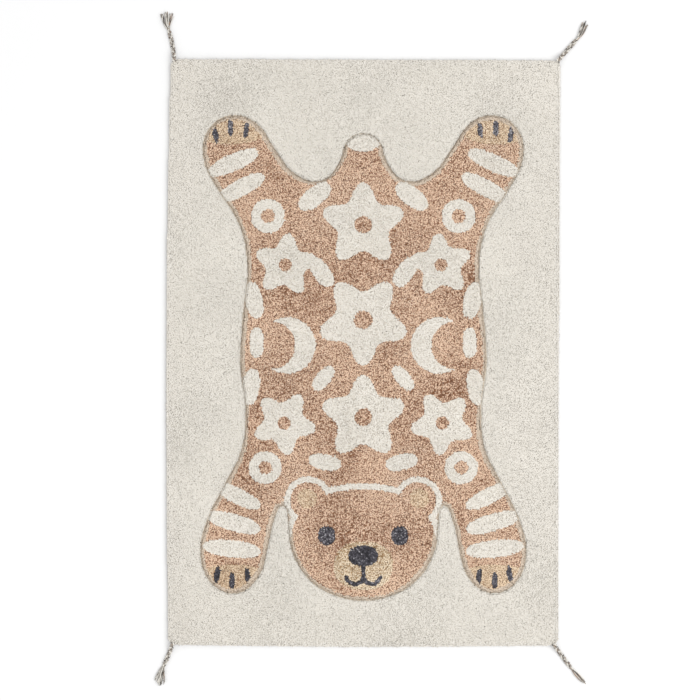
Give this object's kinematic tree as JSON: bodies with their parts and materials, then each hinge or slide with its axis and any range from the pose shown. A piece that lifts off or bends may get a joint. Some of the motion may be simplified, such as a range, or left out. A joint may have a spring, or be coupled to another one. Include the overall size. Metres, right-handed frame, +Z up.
{
  "type": "bear relief kids rug",
  "caption": "Rectangular tufted cotton rug for a child's room, with a bear hide in raised pile inside a carved groove and a braided tassel at each corner.",
  "frame": {"origin": "middle of the rug's underside, on the floor it lies on", "axes": "+Y runs along the rug's length to the bear's tail, +X across its width, +Z up out of the pile"},
  "size_m": [1.3411, 2.0665, 0.0175],
  "materials": {
    "cotton_pile": "matte",
    "braided_yarn": "matte"
  },
  "bodies": {
    "root": {"rug": "cotton_pile", "tassel_tail_left": "braided_yarn", "tassel_tail_right": "braided_yarn", "tassel_head_left": "braided_yarn", "tassel_head_right": "braided_yarn"}
  },
  "joints": []
}
